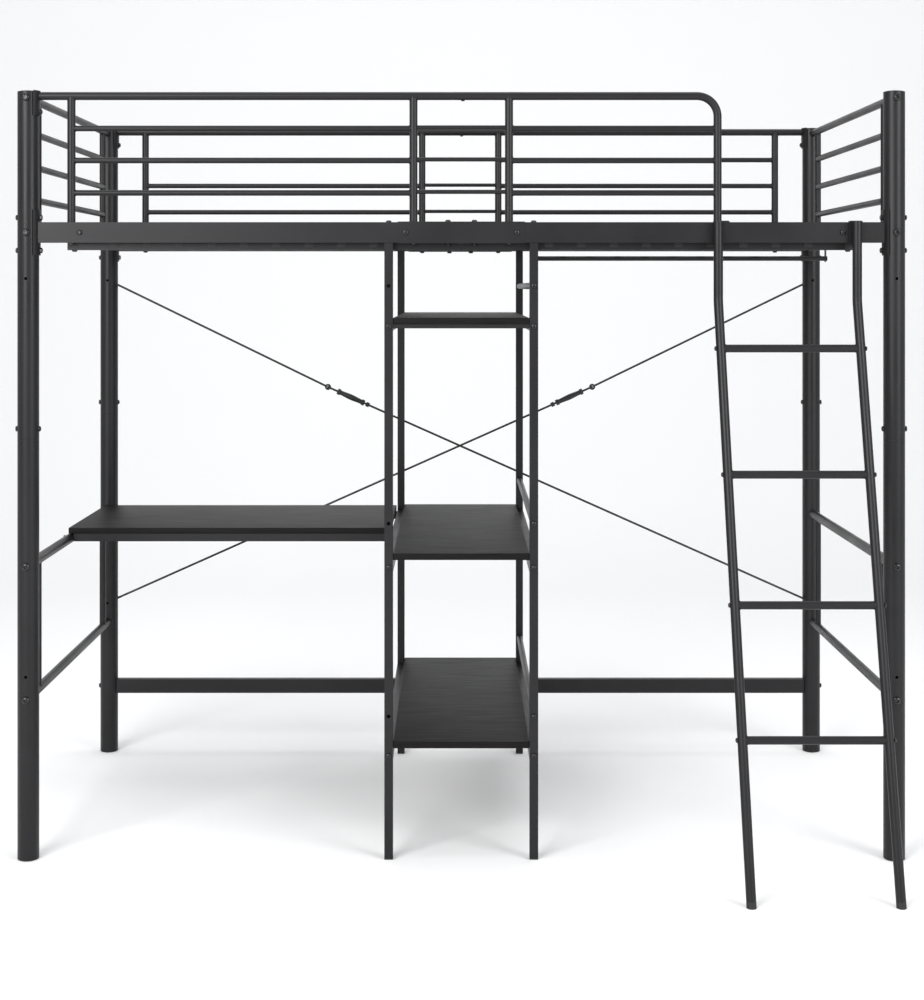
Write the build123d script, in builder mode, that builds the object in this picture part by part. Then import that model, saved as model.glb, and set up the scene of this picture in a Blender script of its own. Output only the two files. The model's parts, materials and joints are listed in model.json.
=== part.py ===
from build123d import *
from math import atan, cos, degrees, radians, sin, sqrt
import os

# High sleeper bed with desk, shelf unit, clothes rail and hook-on ladder.
# Lengths in mm. X runs along the bed, Y from the ladder side to the back, Z up.

# overall
post_pitch_x = 2030.0        # post centre to post centre along the bed
post_pitch_y = 925.0         # post centre to post centre across the bed
total_height = 1800.0
bed_height = 1467.0          # centre height of the long rails

# general clearances
gap = 0.3                    # between neighbouring parts
weld_gap = 0.15              # between the members of one welded frame
bolt_clear = 0.35            # radial room round a bolt in a drilled hole
sleeve_clear = 0.25          # room between a joining sleeve and its tube
thread_clear = 0.06          # running room of a rod in its turnbuckle
seam = 0.4                   # gap between the two lengths of a jointed tube

# posts
post_r = 25.0
post_wall = 1.5
post_seam_z = 982.0
sleeve_len = 160.0
foot_plug_height = 24.0
foot_sole = 3.4              # height of the flush flange under a tube
cap_dome = 4.0
spare_hole_high = 1359.0     # open cross holes left in every post
spare_hole_low = 430.0
spare_hole_r = 3.5

# fasteners
bolt_r = 4.0
head_r = 9.0
head_h = 6.0
small_head_r = 6.5
small_head_h = 4.5
nut_r = 6.5
nut_h = 4.0

# long rails, saddle plates and joining sleeve
rail_h = 48.0
rail_d = 25.0
rail_wall = 1.5
saddle_t = 3.0
saddle_h = 107.0
saddle_angle = 48.0
rail_bolt_rise = 35.0        # second post bolt above the rail centre
rail_bolt_drop = 42.0        # and below it
joiner_half = 148.5
joiner_wall = 1.2
joiner_clear = 0.2
panel_end_x = 892.5          # cross tube at the outer end of a slat panel
panel_in_x = 130.0           # cross tube at its inner end

# end frames
end_top_r = 9.5
end_bar_r = 8.0
end_rail_r = 11.0
end_upright_r = 8.5
end_upright_in = 92.0        # distance of an end upright from its post
tube_wall = 1.2
end_top_z = 1782.0
end_bar_zs = [1703.0, 1624.0, 1546.0]
side_rail_r = 12.0
side_rail_z = 687.0
low_rail_r = 11.0
low_rail_z = 376.0
insert_len = 26.0            # solid threaded plug in a tube end

# guards
guard_r = 9.5
guard_bar_r = 6.75
bridge_r = 5.0
guard_top_z = 1787.0
guard_bar_zs = [1711.0, 1636.0, 1560.0]
guard_bar_drop = {"front": 0.0, "rear": 4.0}
guard_post_x = 914.0
guard_mid_x = 112.0
guard_end_x = 601.0
guard_bend_r = 48.0
guard_seam_x = -21.0
bracket_h = 58.0
bracket_z = 1770.0
bracket_bolt_z = 1750.0

# slat panels
slat_r = 9.5
slat_count = 9
cross_w = 24.0
cross_h = 38.0
bearer_w = 20.0
bearer_bottom = 1426.3
bearer_top = 1446.2
ledge_t = 3.0
bearer_end_x = 927.0
clip_w = 19.0
clip_h = 10.0

# back stretcher and cross brace
stretcher_z = 188.0
stretcher_h = 40.0
stretcher_d = 20.0
brace_top_z = 1355.0
brace_low_z = 433.0
brace_spread = 4.2           # each diagonal's offset from the post plane
rod_r = 3.0
rod_hole_r = 4.0             # rod's hole in a post
eye_x = 382.0
eye_z = 1051.0
turn_r = 7.5
turn_len = 85.0
turn_start = 24.0            # from the eye to the body's near end
eye_ring_r = 6.2

# shelf unit
unit_half = 170.0
upright_w = 20.0
upright_wall = 1.5
unit_back = 898.0            # depth of the rear uprights behind the front posts
unit_seam_z = 738.0
shelf_half = 159.6
shelf_front = -10.0
shelf_back = 893.0
shelf_t = 15.5
shelf_tops = [275.5, 716.0, 1267.5]
top_support_z = 1247.0       # centre of the top board's side tubes
support_h = 28.0
top_support_h = 20.0
ledge_reach = 15.0
bar_zs = [335.0, 786.0, 1342.0]
side_bar_r = 8.0
cross_rail_h = 9.2           # rails across the unit under the top board

# desk
desk_top_z = 716.0
desk_t = 15.0
desk_front = 413.0
desk_depth = 460.0
desk_left = -1016.0
desk_rail_w = 20.0
desk_rail_in = 12.0          # desk rails set in from the board's edges

# ladder
ladder_left = 598.5
ladder_right = 922.0
ladder_drift = 26.5          # the feet stand this much further along X than the hooks
stile_r = 11.0
stile_wall = 1.5
stile_bend_z = 1307.0
stile_top_z = bed_height + rail_h / 2
stile_seam_z = 886.0
foot_reach = 316.0           # ladder foot in front of the front posts
foot_z = 6.0                 # height of the foot's reference point on a stile's axis
rung_r = 9.2
rung_zs = [341.0, 626.5, 912.0, 1197.0]
hook_t = 3.0
hook_plates = {"left": (587.5, 627.5), "right": (905.5, 938.5)}
hook_straps = {"left": (612.0, 626.0), "right": (911.0, 925.0)}
hook_leg = 22.0
hook_plate_h = 52.0

# clothes rail
hang_depth = 680.0
hang_z = 1418.0
hang_r = 6.5
hang_left = 198.0
hang_right = 999.0
strap_t = 2.5
strap_w = 14.0

# where a stile's axis lies before the front posts, and how far out its foot reaches
hook_face = -rail_d / 2 - 0.5
stile_depth = hook_face - hook_t - weld_gap - stile_r
stile_lean = (foot_reach + stile_depth) / (stile_bend_z - foot_z)
foot_front = foot_reach + foot_z * stile_lean + stile_r * sqrt(1 + stile_lean ** 2)

# the depth origin puts the middle of the overall depth on Y = 0
front_y = -(post_pitch_y + post_r + head_h + 0.1 - foot_front) / 2
post_x = post_pitch_x / 2
rear_y = front_y + post_pitch_y
saddle_r = post_r + gap + saddle_t
rail_top = bed_height + rail_h / 2
rail_bottom = bed_height - rail_h / 2
post_top = total_height - cap_dome
joiner_out = joiner_wall + joiner_clear

os.makedirs("parts", exist_ok=True)


def save(builder, name):
    """Label a finished part and write it to its own file."""
    builder.part.label = name
    export_step(builder.part, f"parts/{name}.step")


def tube(start, end, radius, bore=0.0, mode=Mode.ADD):
    """Round tube or rod between two points, in the open part."""
    run = Vector(*end) - Vector(*start)
    with BuildSketch(Plane(origin=start, z_dir=run)) as ring:
        Circle(radius)
        if bore > 0:
            Circle(bore, mode=Mode.SUBTRACT)
    extrude(ring.sketch, amount=run.length, mode=mode)


def box(low, high, mode=Mode.ADD):
    """Block between two corners, in the open part."""
    with BuildSketch(Plane(origin=(0, 0, low[2]))) as face:
        with Locations(((low[0] + high[0]) / 2, (low[1] + high[1]) / 2)):
            Rectangle(high[0] - low[0], high[1] - low[1])
    extrude(face.sketch, amount=high[2] - low[2], mode=mode)


def long_box(x0, x1, y, z, width, height, wall):
    """Rectangular tube along X, centred on y and z."""
    box((x0, y - width / 2, z - height / 2), (x1, y + width / 2, z + height / 2))
    box((x0 - 1, y - width / 2 + wall, z - height / 2 + wall),
        (x1 + 1, y + width / 2 - wall, z + height / 2 - wall), Mode.SUBTRACT)


def deep_box(y0, y1, x, z, width, height, wall):
    """Rectangular tube along Y, centred on x and z."""
    box((x - width / 2, y0, z - height / 2), (x + width / 2, y1, z + height / 2))
    box((x - width / 2 + wall, y0 - 1, z - height / 2 + wall),
        (x + width / 2 - wall, y1 + 1, z + height / 2 - wall), Mode.SUBTRACT)


def saddle(side, y, low, high):
    """Curved plate that hugs the inner side of a post."""
    inner = post_r + gap
    chord = inner * cos(radians(saddle_angle))
    with BuildSketch(Plane(origin=(side * post_x, y, low))) as arc:
        Circle(inner + saddle_t)
        Circle(inner, mode=Mode.SUBTRACT)
        with Locations((side * (post_r * 2 - chord), 0)):
            Rectangle(post_r * 4, post_r * 4, mode=Mode.SUBTRACT)
    extrude(arc.sketch, amount=high - low)


def bolt(start, end, radius, height, shank=bolt_r):
    """Round-headed socket bolt: head behind the start point, shank to the end point."""
    run = Vector(*end) - Vector(*start)
    base = Plane(origin=start, z_dir=run)
    with BuildSketch(Plane(origin=start, x_dir=base.x_dir, z_dir=-base.y_dir)) as half:
        with BuildLine():
            Polyline((0, -height), (0, run.length), (shank, run.length), (shank, 0), (radius, 0),
                     (radius, -height * 0.35), (radius * 0.93, -height * 0.62),
                     (radius * 0.74, -height * 0.86), (radius * 0.5, -height), (0, -height))
        make_face()
    revolve(half.sketch, axis=Axis(start, run))
    with BuildSketch(Plane(origin=base.origin - base.z_dir * height, z_dir=run)) as socket:
        RegularPolygon(radius * 0.42, 6)
    extrude(socket.sketch, amount=height * 0.55, mode=Mode.SUBTRACT)


def nut(start, away):
    """Hexagon nut on a shank, from the start point along the given direction."""
    with BuildSketch(Plane(origin=start, z_dir=away)) as hexagon:
        RegularPolygon(nut_r, 6)
    extrude(hexagon.sketch, amount=nut_h)


def spot(depth):
    """Y position at a depth behind the front posts."""
    return front_y + depth


corners = [(face, side) for face in ("front", "rear") for side in ("left", "right")]
sign = {"left": -1, "right": 1, "front": 1, "rear": -1}
post_at = {"front": front_y, "rear": rear_y}
post_bolt_zs = [end_top_z, bed_height, side_rail_z, low_rail_z]
rail_bolt_zs = [bed_height + rail_bolt_rise, bed_height - rail_bolt_drop]
join_bolt_z = post_seam_z + 25.0
bracketed = [("front", "left"), ("rear", "left"), ("rear", "right")]
hole_r = bolt_r + bolt_clear
guard_outer = {"front": guard_post_x, "rear": guard_post_x - 4.0}
guard_inner = {"front": guard_mid_x, "rear": guard_mid_x - 2.0}
guard_seams = {"front": guard_seam_x, "rear": 0.0}

# cross brace: each diagonal runs from one rear post's top to the other's foot
brace_y = {"left": rear_y - brace_spread, "right": rear_y + brace_spread}


def brace_points(side):
    """Anchor, eye centre, far anchor and unit direction of one diagonal."""
    s = sign[side]
    y = brace_y[side]
    anchor = Vector(s * (post_x - 8), y, brace_top_z)
    eye = Vector(s * eye_x, y, eye_z)
    foot = Vector(-s * (post_x - 8), y, brace_low_z)
    return anchor, eye, foot, (foot - eye).normalized()


# ---- posts, in two lengths with a hidden joining sleeve
for face in ("front", "rear"):
    py = post_at[face]
    with BuildPart() as posts_lower:
        for side in ("left", "right"):
            px = sign[side] * post_x
            tube((px, py, foot_sole + gap), (px, py, post_seam_z - seam / 2), post_r,
                 post_r - post_wall)
            for z in (side_rail_z, low_rail_z):
                tube((px, py - 40, z), (px, py + 40, z), hole_r, mode=Mode.SUBTRACT)
            tube((px, py - 40, spare_hole_low), (px, py + 40, spare_hole_low), spare_hole_r,
                 mode=Mode.SUBTRACT)
            if face == "rear":
                tube((px - 40, py, stretcher_z), (px + 40, py, stretcher_z), hole_r,
                     mode=Mode.SUBTRACT)
                other = "right" if side == "left" else "left"
                anchor, eye, foot, along = brace_points(other)
                tube(foot - along * 40, foot, rod_hole_r, mode=Mode.SUBTRACT)
    save(posts_lower, f"posts_lower_{face}")

    with BuildPart() as posts_upper:
        for side in ("left", "right"):
            px = sign[side] * post_x
            tube((px, py, post_seam_z + seam / 2), (px, py, post_top), post_r, post_r - post_wall)
            for z in (end_top_z, bed_height):
                tube((px, py - 40, z), (px, py + 40, z), hole_r, mode=Mode.SUBTRACT)
            for z in rail_bolt_zs + [join_bolt_z]:
                tube((px - 40, py, z), (px + 40, py, z), hole_r, mode=Mode.SUBTRACT)
            tube((px, py - 40, spare_hole_high), (px, py + 40, spare_hole_high), spare_hole_r,
                 mode=Mode.SUBTRACT)
            if (face, side) in bracketed:
                tube((px, py, bracket_bolt_z), (px - sign[side] * 40, py, bracket_bolt_z), hole_r,
                     mode=Mode.SUBTRACT)
            if face == "rear":
                anchor, eye, foot, along = brace_points(side)
                down = (eye - anchor).normalized()
                tube(anchor, anchor + down * 40, rod_hole_r, mode=Mode.SUBTRACT)
    save(posts_upper, f"posts_upper_{face}")

with BuildPart() as post_sleeves:
    outer = post_r - post_wall - sleeve_clear
    for face, side in corners:
        px, py = sign[side] * post_x, post_at[face]
        tube((px, py, post_seam_z - sleeve_len / 2), (px, py, post_seam_z + sleeve_len / 2),
             outer, outer - 1.5)
        tube((px - 40, py, join_bolt_z), (px + 40, py, join_bolt_z), hole_r, mode=Mode.SUBTRACT)
save(post_sleeves, "post_sleeves")

with BuildPart() as post_feet:
    for face, side in corners:
        px, py = sign[side] * post_x, post_at[face]
        with BuildSketch(Plane(origin=(px, py, 0), x_dir=(1, 0, 0), z_dir=(0, -1, 0))) as half:
            plug = post_r - post_wall - sleeve_clear
            with BuildLine():
                Polyline((0, 0), (post_r - 2.4, 0), (post_r - 0.7, 0.7), (post_r, 2.4), (post_r, foot_sole),
                         (plug, foot_sole), (plug, foot_plug_height), (0, foot_plug_height), (0, 0))
            make_face()
        revolve(half.sketch, axis=Axis((px, py, 0), (0, 0, 1)))
save(post_feet, "post_feet")

with BuildPart() as post_caps:
    for face, side in corners:
        px, py = sign[side] * post_x, post_at[face]
        with BuildSketch(Plane(origin=(px, py, post_top), x_dir=(1, 0, 0), z_dir=(0, -1, 0))) as half:
            plug = post_r - post_wall - sleeve_clear
            dome = [(post_r * k / 6, cap_dome - (cap_dome - 1.4) * (k / 6) ** 2) for k in range(7)]
            with BuildLine():
                Polyline((0, cap_dome), (0, -6.5), (plug, -6.5), (plug, 0.15), (post_r, 0.15), *dome[::-1])
            make_face()
        revolve(half.sketch, axis=Axis((px, py, 0), (0, 0, 1)))
save(post_caps, "post_caps")

# ---- end frames: tubes between the front and rear posts


def between_posts(x, z, radius, wall):
    """Tube along Y from post to post with a threaded plug in each end."""
    tube((x, front_y, z), (x, rear_y, z), radius, radius - wall)
    reach = post_r + gap + insert_len
    tube((x, front_y, z), (x, front_y + reach, z), radius - wall)
    tube((x, rear_y - reach, z), (x, rear_y, z), radius - wall)


def fit_to_posts(x, low, high, zs):
    """Saddle the tube ends to the posts and drill them for the post bolts."""
    for py in (front_y, rear_y):
        tube((x, py, low - 30), (x, py, high + 30), post_r + gap, mode=Mode.SUBTRACT)
    reach = post_r + gap + insert_len + 1
    for z in zs:
        tube((x, front_y, z), (x, front_y + reach, z), hole_r, mode=Mode.SUBTRACT)
        tube((x, rear_y - reach, z), (x, rear_y, z), hole_r, mode=Mode.SUBTRACT)


end_ys = (front_y + end_upright_in, rear_y - end_upright_in)
desk_rail_ys = (spot(desk_front + desk_rail_w / 2 + 2),
                spot(desk_front + desk_depth - desk_rail_w / 2 - desk_rail_in))
desk_bolt_z = desk_top_z - desk_t - gap - desk_rail_w / 2 - 1

for side in ("left", "right"):
    x = sign[side] * post_x
    with BuildPart() as upper_frame:
        for z in end_bar_zs:
            tube((x, end_ys[0], z), (x, end_ys[1], z), end_bar_r, end_bar_r - tube_wall)
        for y in end_ys:
            tube((x, y, bed_height), (x, y, end_top_z), end_upright_r + weld_gap, mode=Mode.SUBTRACT)
        for y in end_ys:
            tube((x, y, bed_height), (x, y, end_top_z), end_upright_r, end_upright_r - tube_wall)
        for z, r in ((end_top_z, end_top_r), (bed_height, end_rail_r)):
            tube((x, front_y, z), (x, rear_y, z), r + weld_gap, mode=Mode.SUBTRACT)
        for z, r in ((end_top_z, end_top_r), (bed_height, end_rail_r)):
            between_posts(x, z, r, tube_wall)
        fit_to_posts(x, bed_height, end_top_z, (end_top_z, bed_height))
    save(upper_frame, f"end_frame_upper_{side}")

    with BuildPart() as lower_frame:
        for y in end_ys:
            tube((x, y, low_rail_z), (x, y, side_rail_z), end_upright_r, end_upright_r - tube_wall)
        for z, r in ((side_rail_z, side_rail_r), (low_rail_z, low_rail_r)):
            tube((x, front_y, z), (x, rear_y, z), r + weld_gap, mode=Mode.SUBTRACT)
        for z, r in ((side_rail_z, side_rail_r), (low_rail_z, low_rail_r)):
            between_posts(x, z, r, tube_wall)
        fit_to_posts(x, low_rail_z, side_rail_z, (side_rail_z, low_rail_z))
        if side == "left":
            for y in desk_rail_ys:
                tube((x - 20, y, desk_bolt_z), (x + 20, y, desk_bolt_z), hole_r, mode=Mode.SUBTRACT)
    save(lower_frame, f"end_frame_lower_{side}")

# ---- long rails in two halves, with a sleeve over the middle joint
rail_uprights = {
    ("front", "left"): [guard_post_x, guard_mid_x, unit_half, 31.0],
    ("front", "right"): [guard_end_x, guard_mid_x, unit_half, 31.0],
    ("rear", "left"): [guard_outer["rear"], guard_inner["rear"], 31.0],
    ("rear", "right"): [guard_outer["rear"], guard_inner["rear"], 31.0],
}

for face, side in corners:
    s, py = sign[side], post_at[face]
    ends = sorted((s * seam / 2, s * post_x))
    with BuildPart() as rail:
        long_box(ends[0], ends[1], py, bed_height, rail_d, rail_h, rail_wall)
        tube((s * post_x, py, rail_bottom - 50), (s * post_x, py, rail_top + 50),
             saddle_r + weld_gap, mode=Mode.SUBTRACT)
        for x in (panel_end_x, panel_in_x):
            tube((s * x, py - 30, bed_height), (s * x, py + 30, bed_height), hole_r,
                 mode=Mode.SUBTRACT)
        for x in rail_uprights[(face, side)]:
            tube((s * x, py, rail_bottom - 20), (s * x, py, rail_top + 20), hole_r,
                 mode=Mode.SUBTRACT)
        saddle(s, py, bed_height - saddle_h / 2, bed_height + saddle_h / 2)
        for z in rail_bolt_zs:
            tube((s * (post_x - 60), py, z), (s * post_x, py, z), hole_r, mode=Mode.SUBTRACT)
    save(rail, f"rail_{face}_{side}")

with BuildPart() as joiners:
    for face in ("front", "rear"):
        py = post_at[face]
        long_box(-joiner_half, joiner_half, py, bed_height, rail_d + joiner_out * 2,
                 rail_h + joiner_out * 2, joiner_wall)
        for x in (-panel_in_x, panel_in_x):
            tube((x, py - 30, bed_height), (x, py + 30, bed_height), hole_r, mode=Mode.SUBTRACT)
        for x in (31.0, guard_inner[face]):
            for s in (-1, 1):
                tube((s * x, py, rail_bottom - 20), (s * x, py, rail_top + 20), hole_r,
                     mode=Mode.SUBTRACT)
save(joiners, "rail_joiners")

# ---- slat panels, slats and their plastic ends
panel_front = rail_d / 2 + joiner_out + 1.1
panel_back = post_pitch_y - rail_d / 2 - joiner_out - 1.1
slat_xs = [panel_in_x + (panel_end_x - panel_in_x) * k / (slat_count + 1)
           for k in range(1, slat_count + 1)]
slat_z = bearer_top + 0.2 + slat_r
cap_len = 24.0
for side in ("left", "right"):
    s = sign[side]
    with BuildPart() as panel:
        ends = sorted((s * 1.5, s * (bearer_end_x - cap_len - gap)))
        long_box(ends[0], ends[1], spot(panel_front + bearer_w / 2), (bearer_bottom + bearer_top) / 2,
                 bearer_w, bearer_top - bearer_bottom, tube_wall)
        ends = sorted((s * 1.5, s * (panel_end_x + cross_w / 2)))
        box((ends[0], spot(panel_back - bearer_w), bearer_top - ledge_t),
            (ends[1], spot(panel_back), bearer_top))
        box((ends[0], spot(panel_back - ledge_t), bearer_top + weld_gap),
            (ends[1], spot(panel_back), bed_height + 12))
        near, far = spot(panel_front), spot(panel_back - ledge_t - weld_gap)
        for x in (panel_in_x, panel_end_x):
            deep_box(near, far, s * x, bed_height, cross_w, cross_h, tube_wall)
            for y0, y1 in ((near, near + insert_len), (far - insert_len, far)):
                box((s * x - cross_w / 2 + 1, y0, bed_height - cross_h / 2 + 1),
                    (s * x + cross_w / 2 - 1, y1, bed_height + cross_h / 2 - 1))
            tube((s * x, near - 1, bed_height), (s * x, near + insert_len + 1, bed_height), hole_r,
                 mode=Mode.SUBTRACT)
            tube((s * x, far - insert_len - 1, bed_height), (s * x, far + 10, bed_height), hole_r,
                 mode=Mode.SUBTRACT)
        tube((s * unit_half, spot(unit_back), bearer_top - 10), (s * unit_half, spot(unit_back),
             bearer_top + 1), hole_r, mode=Mode.SUBTRACT)
    save(panel, f"slat_panel_{side}")

with BuildPart() as slats:
    for s in (-1, 1):
        for x in slat_xs:
            tube((s * x, spot(panel_front + 0.2), slat_z), (s * x, spot(panel_back - 10), slat_z),
                 slat_r, slat_r - tube_wall)
save(slats, "slats")

with BuildPart() as slat_plugs:
    plug = slat_r - tube_wall - sleeve_clear
    for s in (-1, 1):
        for x in slat_xs:
            box((s * x - clip_w / 2, spot(panel_front - 2), rail_bottom - clip_h),
                (s * x + clip_w / 2, spot(panel_front), slat_z + slat_r))
            tube((s * x, spot(panel_front - 0.5), slat_z), (s * x, spot(panel_front + 16), slat_z), plug)
            y = panel_back - 10
            tube((s * x, spot(y + 0.2), slat_z), (s * x, spot(y + 2.5), slat_z), slat_r)
            tube((s * x, spot(y - 16), slat_z), (s * x, spot(y + 1), slat_z), plug)
        ends = sorted((s * (bearer_end_x - cap_len), s * bearer_end_x))
        box((ends[0], spot(panel_front), bearer_bottom), (ends[1], spot(panel_front + bearer_w),
            bearer_top))
        x, y = s * (bearer_end_x - 15), spot(panel_front + bearer_w / 2)
        tube((x, y, bearer_bottom - 1), (x, y, bearer_bottom + 16), hole_r, mode=Mode.SUBTRACT)
save(slat_plugs, "slat_plugs")

# ---- guards above the rails


def guard_foot(face, x):
    """Height where a guard upright stands, on the rail or on its joining sleeve."""
    return rail_top + gap + (joiner_out if abs(x) < joiner_half else 0)


def guard_uprights(face, xs, top):
    """Guard uprights cut to the top tube, with a threaded plug at the foot."""
    y = post_at[face]
    for x in xs:
        tube((x, y, guard_foot(face, x)), (x, y, top), guard_r, guard_r - tube_wall)
        tube((x, y, guard_foot(face, x)), (x, y, guard_foot(face, x) + insert_len),
             guard_r - tube_wall)
        tube((x, y, guard_foot(face, x) - 1), (x, y, guard_foot(face, x) + insert_len + 1), hole_r,
             mode=Mode.SUBTRACT)


def bar_heights(face):
    """Heights of the guard bars on one side of the bed."""
    return [z - guard_bar_drop[face] for z in guard_bar_zs]


def guard_bars(face, x0, x1):
    """Bars between two uprights, with their ends cut to fit."""
    y = post_at[face]
    for z in bar_heights(face):
        tube((x0, y, z), (x1, y, z), guard_bar_r, guard_bar_r - 1)
    for x in (x0, x1):
        tube((x, y, rail_top), (x, y, guard_top_z), guard_r + weld_gap, mode=Mode.SUBTRACT)


def bridge_holes(face, x):
    """Holes for the loose bars in the inward side of a middle upright."""
    y = post_at[face]
    for z in bar_heights(face):
        tube((x, y, z + 2.5), (x * 0.8, y, z + 2.5), bridge_r + gap, mode=Mode.SUBTRACT)


def screw_hole(face):
    """Hole under the top tube for the screw that holds its joining sleeve."""
    y = post_at[face]
    tube((4.0, y, guard_top_z - guard_r - 2), (4.0, y, guard_top_z), 2.8, mode=Mode.SUBTRACT)


for face, side in corners:
    if (face, side) == ("front", "right"):
        continue
    s, y = sign[side], post_at[face]
    outer, inner = s * guard_outer[face], s * guard_inner[face]
    mid = guard_seams[face] + s * seam / 2
    with BuildPart() as guard:
        guard_bars(face, outer, inner)
        guard_uprights(face, (outer, inner), guard_top_z)
        bridge_holes(face, inner)
        tube((s * post_x, y, guard_top_z), (mid, y, guard_top_z), guard_r + weld_gap,
             mode=Mode.SUBTRACT)
        tube((s * post_x, y, guard_top_z), (mid, y, guard_top_z), guard_r, guard_r - tube_wall)
        tube((s * post_x, y, bracket_z - 60), (s * post_x, y, total_height + 20),
             saddle_r + weld_gap, mode=Mode.SUBTRACT)
        saddle(s, y, bracket_z - bracket_h / 2, bracket_z + bracket_h / 2)
        tube((s * (post_x - 60), y, bracket_bolt_z), (s * post_x, y, bracket_bolt_z), hole_r,
             mode=Mode.SUBTRACT)
        if face == "rear" and side == "right":
            screw_hole(face)
    save(guard, f"guard_{face}_{side}")

bend_x = guard_end_x - guard_bend_r
bend_z = guard_top_z - guard_bend_r
with BuildPart() as guard_end:
    guard_bars("front", guard_mid_x, guard_end_x)
    guard_uprights("front", (guard_end_x,), bend_z)
    guard_uprights("front", (guard_mid_x,), guard_top_z)
    bridge_holes("front", guard_mid_x)
    run = ((guard_seam_x + seam / 2, front_y, guard_top_z), (bend_x, front_y, guard_top_z))
    tube(*run, guard_r + weld_gap, mode=Mode.SUBTRACT)
    tube(*run, guard_r, guard_r - tube_wall)
    with BuildSketch(Plane(origin=(bend_x, front_y, guard_top_z), z_dir=(1, 0, 0))) as ring:
        Circle(guard_r)
        Circle(guard_r - tube_wall, mode=Mode.SUBTRACT)
    centre = (bend_x, front_y, bend_z)
    with BuildSketch(Plane(origin=(bend_x + guard_bend_r * sin(radians(0.3)), front_y,
                                   bend_z + guard_bend_r * cos(radians(0.3))),
                           x_dir=(0, 1, 0),
                           z_dir=(cos(radians(0.3)), 0, -sin(radians(0.3))))) as ring:
        Circle(guard_r)
        Circle(guard_r - tube_wall, mode=Mode.SUBTRACT)
    revolve(ring.sketch, axis=Axis(centre, (0, 1, 0)), revolution_arc=89.4)
    screw_hole("front")
save(guard_end, "guard_front_right")

with BuildPart() as guard_links:
    for face in ("front", "rear"):
        y = post_at[face]
        reach = guard_inner[face] - 4
        for z in bar_heights(face):
            tube((-reach, y, z + 2.5), (reach, y, z + 2.5), bridge_r)
save(guard_links, "guard_link_bars")

with BuildPart() as guard_sleeves:
    outer = guard_r - tube_wall - sleeve_clear
    for face in ("front", "rear"):
        y, x = post_at[face], guard_seams[face]
        tube((x - 40, y, guard_top_z), (x + 40, y, guard_top_z), outer, outer - 2)
        screw_hole(face)
save(guard_sleeves, "guard_sleeves")

# ---- back stretcher and cross brace
with BuildPart() as stretcher:
    long_box(-post_x, post_x, rear_y, stretcher_z, stretcher_d, stretcher_h, rail_wall)
    reach = post_x - post_r - gap - insert_len
    for s in (-1, 1):
        ends = sorted((s * reach, s * post_x))
        box((ends[0], rear_y - stretcher_d / 2 + 1, stretcher_z - stretcher_h / 2 + 1),
            (ends[1], rear_y + stretcher_d / 2 - 1, stretcher_z + stretcher_h / 2 - 1))
    for s in (-1, 1):
        tube((s * post_x, rear_y, 100), (s * post_x, rear_y, 260), post_r + gap, mode=Mode.SUBTRACT)
        tube((s * (reach - 1), rear_y, stretcher_z), (s * post_x, rear_y, stretcher_z), hole_r,
             mode=Mode.SUBTRACT)
save(stretcher, "back_stretcher")


def ring_eye(centre, normal):
    """Closed eye of bent rod round a centre, square to the given direction."""
    plane = Plane(origin=centre, z_dir=normal)
    rim = plane.origin + plane.x_dir * eye_ring_r
    with BuildSketch(Plane(origin=rim, x_dir=plane.x_dir, z_dir=plane.y_dir)) as wire:
        Circle(rod_r * 0.92)
    revolve(wire.sketch, axis=Axis(centre, plane.z_dir))


def turn_points(side):
    """Start and end of the turnbuckle body along its diagonal."""
    anchor, eye, foot, along = brace_points(side)
    first = eye + along * (eye_ring_r + turn_start)
    return first, first + along * turn_len


with BuildPart() as brace_upper:
    for side in ("left", "right"):
        anchor, eye, foot, along = brace_points(side)
        down = (eye - anchor).normalized()
        tube(anchor, eye - down * eye_ring_r, rod_r)
        tube(anchor + down, anchor + down * 6, rod_r * 2)
        ring_eye(eye, (0, 1, 0))
save(brace_upper, "brace_upper_rods")

with BuildPart() as brace_eyes:
    for side in ("left", "right"):
        anchor, eye, foot, along = brace_points(side)
        first, last = turn_points(side)
        ring_eye((eye + along * eye_ring_r), along.cross(Vector(0, 1, 0)))
        tube((eye + along * eye_ring_r * 2), (first + along * 24), rod_r)
save(brace_eyes, "brace_eye_screws")

with BuildPart() as brace_lower:
    for side in ("left", "right"):
        anchor, eye, foot, along = brace_points(side)
        first, last = turn_points(side)
        tube((last - along * 24), foot, rod_r)
        tube(last + along * 5, last + along * 15, rod_r * 2.2)
        tube((foot - along * 6), (foot - along * 1), rod_r * 2)
save(brace_lower, "brace_lower_rods")

for side in ("left", "right"):
    first, last = turn_points(side)
    axis = (last - first).normalized()
    with BuildPart() as turnbuckle:
        tube(first, last, turn_r)
        for end, into in ((first, 1), (last, -1)):
            tube(end, (end + axis * into * 9), turn_r + 1.2)
        tube((first - axis), (last + axis), rod_r + thread_clear,
             mode=Mode.SUBTRACT)
    save(turnbuckle, f"turnbuckle_{side}")

# ---- shelf unit
shelf_unders = [top - shelf_t for top in shelf_tops]
support_zs = [shelf_unders[0] - gap - ledge_t - support_h / 2,
              shelf_unders[1] - gap - ledge_t - support_h / 2,
              top_support_z]
unit_ys = {"front": front_y, "rear": spot(unit_back)}
unit_tops = {"front": rail_bottom - gap, "rear": bearer_top - ledge_t - gap}
half_w = upright_w / 2
inner_w = upright_w - upright_wall * 2


def upright_holes(side, face, low, high):
    """Holes for the shelf supports and side bars; the unused ones go through the outer wall only."""
    x, y = sign[side] * unit_half, unit_ys[face]
    for z in support_zs + bar_zs:
        reach = 0 if side == "left" and z in bar_zs else 20
        if low < z < high:
            tube((x, y - sign[face] * 20, z), (x, y + sign[face] * reach, z), hole_r,
                 mode=Mode.SUBTRACT)


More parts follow.
